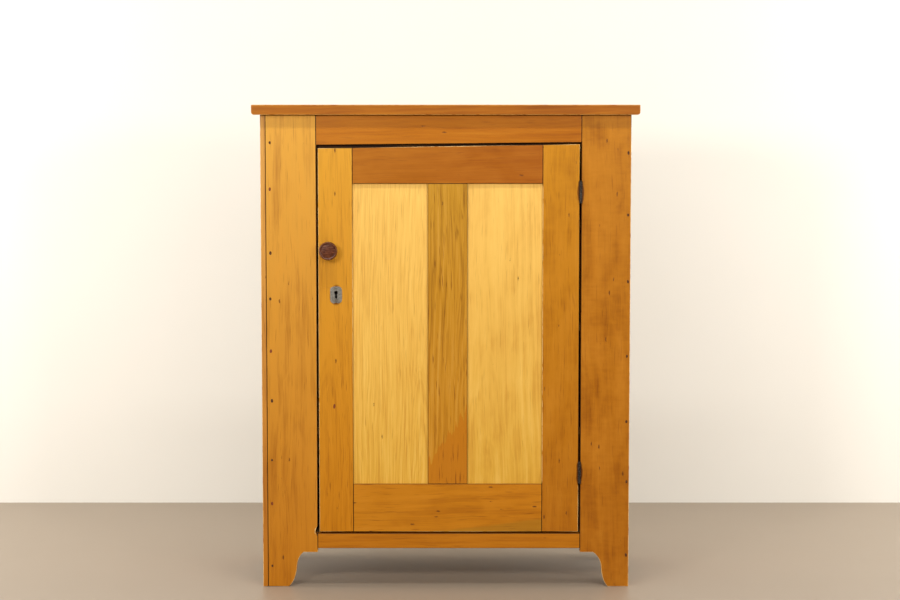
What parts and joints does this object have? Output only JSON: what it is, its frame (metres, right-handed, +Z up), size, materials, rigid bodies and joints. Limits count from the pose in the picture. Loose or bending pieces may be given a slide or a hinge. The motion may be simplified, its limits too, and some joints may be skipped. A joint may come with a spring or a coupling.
{
  "type": "pantry cupboard",
  "caption": "Free-standing farmhouse pantry cupboard with a face frame, scrolled bracket feet and a framed, panelled door with a turned knob, turn latch and rim lock.",
  "frame": {"origin": "centre of the whole cupboard's footprint, at floor level", "axes": "+Z up, the door faces -Y, and the hinges are on the +X side"},
  "size_m": [1.044, 0.468, 1.315],
  "materials": {
    "honey_maple": "old clear shellac over honey-coloured maple, satin",
    "amber_maple": "old clear shellac over amber curly maple, satin",
    "orange_maple": "old clear shellac over orange-brown maple, satin",
    "golden_stile": "old clear shellac over golden maple, satin",
    "pale_panel": "old clear shellac over pale yellow poplar or pine, satin",
    "brown_muntin": "old clear shellac over streaky brown poplar, satin",
    "inside_pine": "bare planed pine, aged, matt",
    "back_pine": "bare rough pine, darkened, matt",
    "walnut": "turned walnut, worn, satin",
    "dark_iron": "dark iron, worn bright on the knuckles",
    "grey_iron": "stamped grey metal, tarnished"
  },
  "bodies": {
    "case": {"left_side": "honey_maple", "left_front_stile": "honey_maple", "right_side": "amber_maple", "right_front_stile": "amber_maple", "top_board": "orange_maple", "top_front_rail": "orange_maple", "bottom_front_rail": "orange_maple", "left_corner_post": "inside_pine", "bottom_shelf": "inside_pine", "lower_shelf": "inside_pine", "middle_shelf": "inside_pine", "upper_shelf": "inside_pine", "left_bottom_shelf_cleat": "inside_pine", "right_bottom_shelf_cleat": "inside_pine", "left_lower_shelf_cleat": "inside_pine", "right_lower_shelf_cleat": "inside_pine", "left_middle_shelf_cleat": "inside_pine", "right_middle_shelf_cleat": "inside_pine", "left_upper_shelf_cleat": "inside_pine", "right_upper_shelf_cleat": "inside_pine", "left_top_cleat": "inside_pine", "right_top_cleat": "inside_pine", "upper_door_stop": "inside_pine", "lower_door_stop": "inside_pine", "back_board_1": "back_pine", "back_board_2": "back_pine", "back_board_3": "back_pine", "back_board_4": "back_pine", "back_board_5": "back_pine", "upper_hinge_frame_leaf": "dark_iron", "upper_hinge_pin": "dark_iron", "upper_hinge_frame_screw_1": "dark_iron", "upper_hinge_frame_screw_2": "dark_iron", "lower_hinge_frame_leaf": "dark_iron", "lower_hinge_pin": "dark_iron", "lower_hinge_frame_screw_1": "dark_iron", "lower_hinge_frame_screw_2": "dark_iron"},
    "door": {"door_hinge_stile": "amber_maple", "door_bottom_rail": "amber_maple", "door_top_rail": "orange_maple", "door_lock_stile": "golden_stile", "door_left_panel": "pale_panel", "door_right_panel": "pale_panel", "door_muntin": "brown_muntin", "upper_hinge_door_leaf": "dark_iron", "upper_hinge_door_screw_1": "dark_iron", "upper_hinge_door_screw_2": "dark_iron", "lower_hinge_door_leaf": "dark_iron", "lower_hinge_door_screw_1": "dark_iron", "lower_hinge_door_screw_2": "dark_iron", "lock_case": "dark_iron", "escutcheon": "grey_iron", "escutcheon_upper_pin": "grey_iron", "escutcheon_lower_pin": "grey_iron"},
    "turn_latch": {"knob": "walnut", "latch_finger": "inside_pine", "latch_peg": "inside_pine"},
    "lock_bolt": {"lock_bolt": "dark_iron"}
  },
  "joints": [
    {"name": "door_swing", "type": "hinge", "parent": "case", "child": "door", "pos_m": [0.364, -0.2, 0.698], "axis": [0, 0, 1], "range_deg": [0, 170]},
    {"name": "knob_turn", "type": "hinge", "parent": "door", "child": "turn_latch", "pos_m": [-0.3165, -0.196, 0.923], "axis": [0, 1, 0], "range_deg": [0, 90]},
    {"name": "bolt_slide", "type": "slide", "parent": "door", "child": "lock_bolt", "axis": [-1, 0, 0], "range_m": [0, 0.014]}
  ]
}
